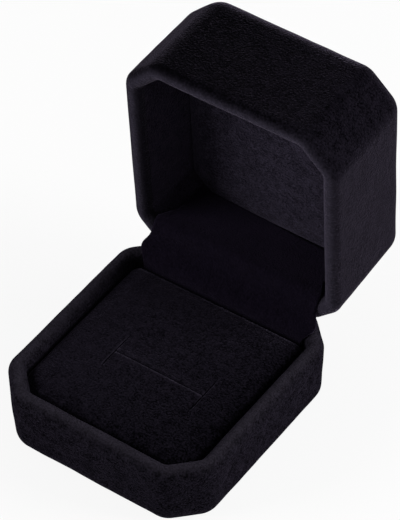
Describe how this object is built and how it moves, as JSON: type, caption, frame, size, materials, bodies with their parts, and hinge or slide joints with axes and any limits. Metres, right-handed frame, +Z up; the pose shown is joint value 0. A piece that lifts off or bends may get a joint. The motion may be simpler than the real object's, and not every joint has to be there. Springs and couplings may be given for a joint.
{
  "type": "hinged ring box",
  "caption": "Cut-corner ring box covered in velvet, with a sprung slit pad for a ring, a padded lid and a velvet hinge cover, standing open.",
  "frame": {"origin": "middle of the base's underside, on the surface that the box stands on", "axes": "+Z up, +Y from the front to the hinge side, +X to the right seen from the front"},
  "size_m": [0.052, 0.0787, 0.0724],
  "materials": {
    "velvet": "matte",
    "shell_plastic": "matte",
    "foam": "matte",
    "card": "matte",
    "base_paper": "matte",
    "hinge_steel": "satin",
    "spring_steel": "satin"
  },
  "bodies": {
    "base": {"base_shell": "shell_plastic", "base_velvet": "velvet", "bottom_sheet": "base_paper", "pad_board": "card", "pad_foam": "foam", "pad_velvet": "velvet", "hinge_base_leaf": "hinge_steel", "hinge_base_rivets": "hinge_steel", "hinge_pin": "hinge_steel", "snap_spring": "spring_steel", "cover_root": "velvet", "cover_crease": "velvet"},
    "lid": {"lid_shell": "shell_plastic", "lid_velvet": "velvet", "lid_liner": "velvet", "ceiling_tray": "card", "ceiling_foam": "foam", "ceiling_velvet": "velvet", "cover_panel": "velvet", "hinge_lid_leaf": "hinge_steel", "hinge_lid_rivets": "hinge_steel"},
    "pad_flap_rear": {"pad_flap_rear": "velvet"},
    "pad_flap_front": {"pad_flap_front": "velvet"}
  },
  "joints": [
    {"name": "lid_hinge", "type": "hinge", "parent": "base", "child": "lid", "pos_m": [0, 0.02555, 0.0178], "axis": [1, 0, 0], "range_deg": [0, 86], "deforming": ["cover_crease", "snap_spring"]},
    {"name": "rear_flap_bend", "type": "hinge", "parent": "base", "child": "pad_flap_rear", "pos_m": [0.0012, 0.0006, 0.014], "axis": [1, 0, 0], "range_deg": [0, 75], "stiffness_Nm_per_rad": 0.0005, "springref_deg": -17.19},
    {"name": "front_flap_bend", "type": "hinge", "parent": "base", "child": "pad_flap_front", "pos_m": [0.0012, -0.0094, 0.014], "axis": [-1, 0, 0], "range_deg": [0, 75], "stiffness_Nm_per_rad": 0.0005, "springref_deg": -17.19}
  ]
}
